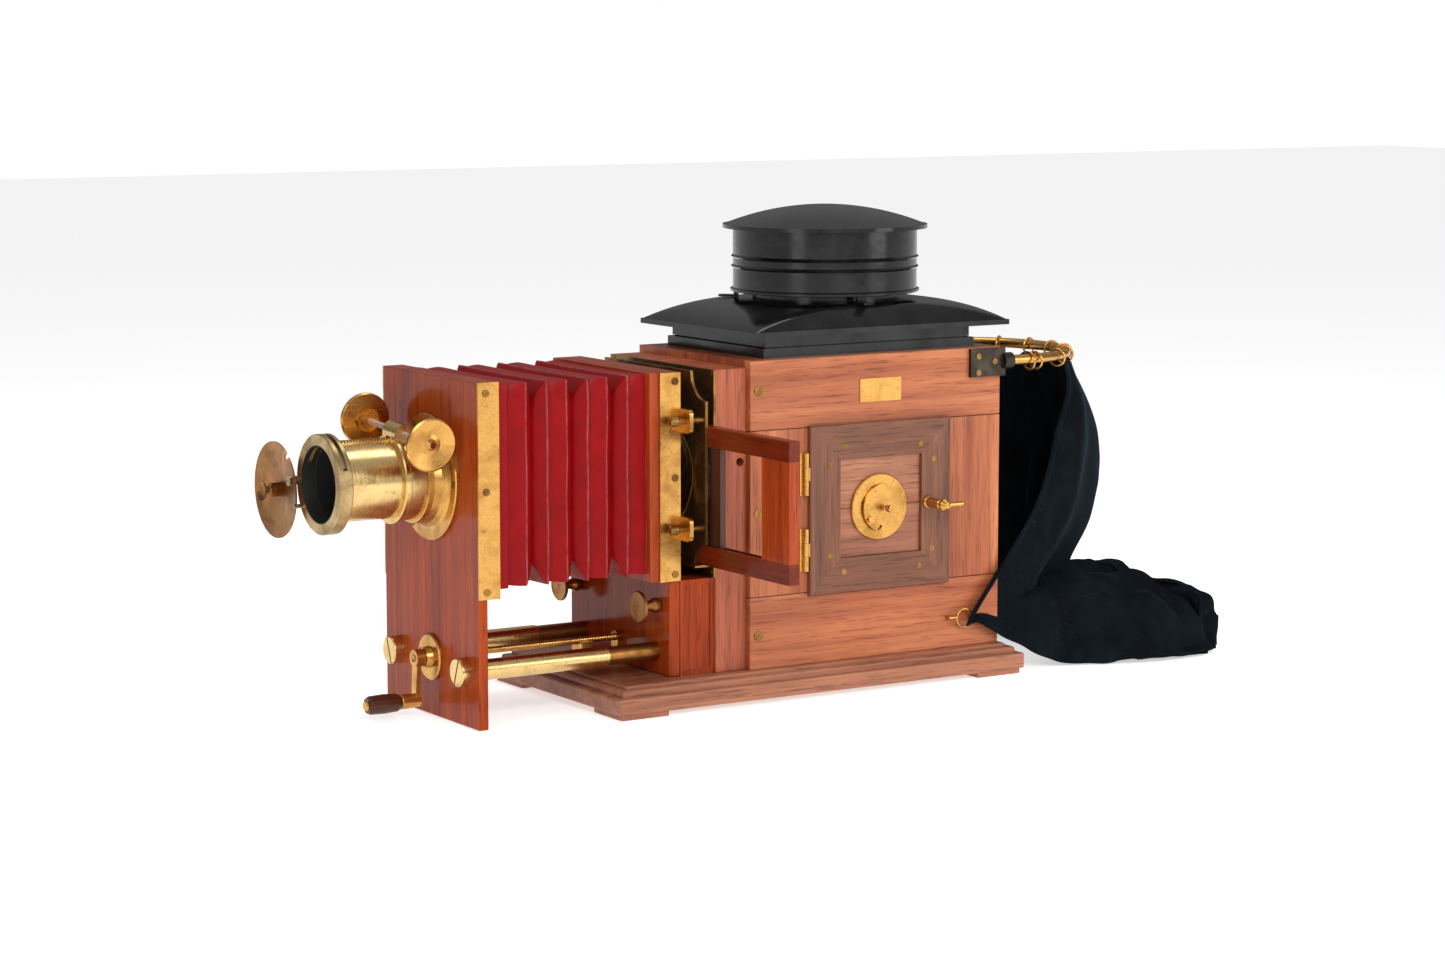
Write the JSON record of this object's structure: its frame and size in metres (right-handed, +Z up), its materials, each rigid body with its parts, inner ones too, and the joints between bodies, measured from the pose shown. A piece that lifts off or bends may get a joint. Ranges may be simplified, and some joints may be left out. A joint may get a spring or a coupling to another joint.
{
  "type": "magic lantern",
  "caption": "Mahogany magic lantern with a lamp house, sprung slide stage, leather bellows, screw-focused front and rack-focused brass lens.",
  "frame": {"origin": "centre of the plinth slab's flat underside, between its four feet", "axes": "+Z up; the lens looks along -X and the open back is at +X; the door is on the -Y side"},
  "size_m": [0.7924, 0.33, 0.3818],
  "materials": {
    "mahogany": "french polished",
    "walnut": "waxed",
    "dark_wood": "ebonised",
    "brass": "lacquered",
    "aged_brass": "tarnished",
    "spring_brass": "rolled",
    "steel": "worn",
    "sheet_iron": "heat blackened",
    "japanned_iron": "gloss japanned",
    "red_leather": "polished",
    "velvet": "piled",
    "glass": "clear",
    "slide_glass": "photographic positive",
    "blue_glass": "tinted"
  },
  "bodies": {
    "house": {"plinth": "mahogany", "plinth_feet": "mahogany", "side_near": "mahogany", "side_far": "mahogany", "body_top": "mahogany", "front_wall": "mahogany", "heat_lining": "sheet_iron", "lamp_tray": "sheet_iron", "burner": "brass", "case_screws": "aged_brass", "blank_plate": "brass", "condenser_box": "mahogany", "condenser_plate": "aged_brass", "condenser_lenses": "glass", "rear_bellows_frame": "mahogany", "stage_side_plates": "brass", "tube_board": "mahogany", "inner_tubes": "brass", "screw_posts": "brass", "cowl_collar": "japanned_iron", "rail_brackets": "aged_brass", "curtain_rail": "brass", "curtain_rings": "brass", "curtain": "velvet", "door_hinge_plates": "brass", "bellows": "red_leather", "pressure_springs": "spring_brass"},
    "front": {"front_panel": "mahogany", "front_bellows_frame": "mahogany", "panel_edge_strips": "brass", "sleeve_tubes": "brass", "crank_escutcheon": "brass", "panel_screws": "aged_brass", "lens_flange": "brass", "lens_jacket": "brass"},
    "screw": {"lead_screw": "brass", "crank_arm": "brass"},
    "grip": {"crank_grip": "dark_wood"},
    "draw": {"drawtube": "brass", "hood_ring": "brass", "lens_elements": "glass"},
    "pinion": {"pinion_shaft": "steel", "pinion_knobs": "brass"},
    "flasher": {"flasher_disc": "brass"},
    "pressure": {"pressure_plate": "brass"},
    "carrier": {"carrier_frame": "mahogany"},
    "holder": {"slide_holder": "dark_wood", "lantern_slides": "slide_glass"},
    "door": {"door_frame": "walnut", "door_panel": "mahogany", "door_hinge_leaves": "brass", "door_screws": "aged_brass", "spyhole_ring": "brass", "spyhole_glass": "blue_glass"},
    "spy": {"spyhole_cover": "brass"},
    "latch": {"door_latch": "brass"},
    "thumb_near": {"thumb_screw_near": "brass"},
    "thumb_far": {"thumb_screw_far": "brass"},
    "cowl": {"cowl_hood": "japanned_iron", "cowl_drum": "japanned_iron"}
  },
  "joints": [
    {"name": "front_focus", "type": "slide", "parent": "house", "child": "front", "axis": [1, 0, 0], "range_m": [-0.02, 0.032], "deforming": ["bellows"]},
    {"name": "crank_turn", "type": "hinge", "parent": "front", "child": "screw", "pos_m": [-0.3129, 0, 0.0413], "axis": [1, 0, 0], "range_deg": [-1801, 2881]},
    {"name": "grip_spin", "type": "hinge", "parent": "screw", "child": "grip", "pos_m": [-0.3389, 0.00292, 0.00793], "axis": [1, 0, 0], "continuous": true},
    {"name": "lens_focus", "type": "slide", "parent": "front", "child": "draw", "axis": [1, 0, 0], "range_m": [-0.014, 0.036]},
    {"name": "pinion_turn", "type": "hinge", "parent": "front", "child": "pinion", "pos_m": [-0.3269, -0.00298, 0.21658], "axis": [0, 0.9966, 0.0819], "range_deg": [-431, 169]},
    {"name": "flasher_swing", "type": "hinge", "parent": "draw", "child": "flasher", "pos_m": [-0.3969, 0.033, 0.1803], "axis": [1, 0, 0], "range_deg": [0, 198.5]},
    {"name": "pressure_release", "type": "slide", "parent": "house", "child": "pressure", "axis": [-1, 0, 0], "range_m": [0, 0.006], "stiffness_N_per_m": 400, "springref_m": -0.005, "deforming": ["pressure_springs"]},
    {"name": "carrier_slide", "type": "slide", "parent": "house", "child": "carrier", "axis": [0, 1, 0], "range_m": [-0.06, 0.06]},
    {"name": "holder_slide", "type": "slide", "parent": "carrier", "child": "holder", "axis": [0, 1, 0], "range_m": [-0.061, 0.019]},
    {"name": "door_swing", "type": "hinge", "parent": "house", "child": "door", "pos_m": [-0.0123, -0.0865, 0.1413], "axis": [0, 0, -1], "range_deg": [0, 105]},
    {"name": "spyhole_swing", "type": "hinge", "parent": "door", "child": "spy", "pos_m": [0.0456, -0.091, 0.1322], "axis": [0, 1, 0], "range_deg": [0, 150]},
    {"name": "latch_turn", "type": "hinge", "parent": "door", "child": "latch", "pos_m": [0.1026, -0.091, 0.1419], "axis": [0, 1, 0], "range_deg": [-90, 90]},
    {"name": "thumb_near_turn", "type": "hinge", "parent": "house", "child": "thumb_near", "pos_m": [-0.1429, -0.062, 0.0753], "axis": [1, 0, 0], "continuous": true},
    {"name": "thumb_far_turn", "type": "hinge", "parent": "house", "child": "thumb_far", "pos_m": [-0.1429, 0.062, 0.0753], "axis": [1, 0, 0], "continuous": true},
    {"name": "cowl_lift", "type": "slide", "parent": "house", "child": "cowl", "axis": [0, 0, 1], "range_m": [0, 0.04]}
  ],
  "couplings": [
    {"joint": "crank_turn", "follows": "front_focus", "rad_per_m": 1570.8},
    {"joint": "pinion_turn", "follows": "lens_focus", "rad_per_m": -208.33}
  ]
}
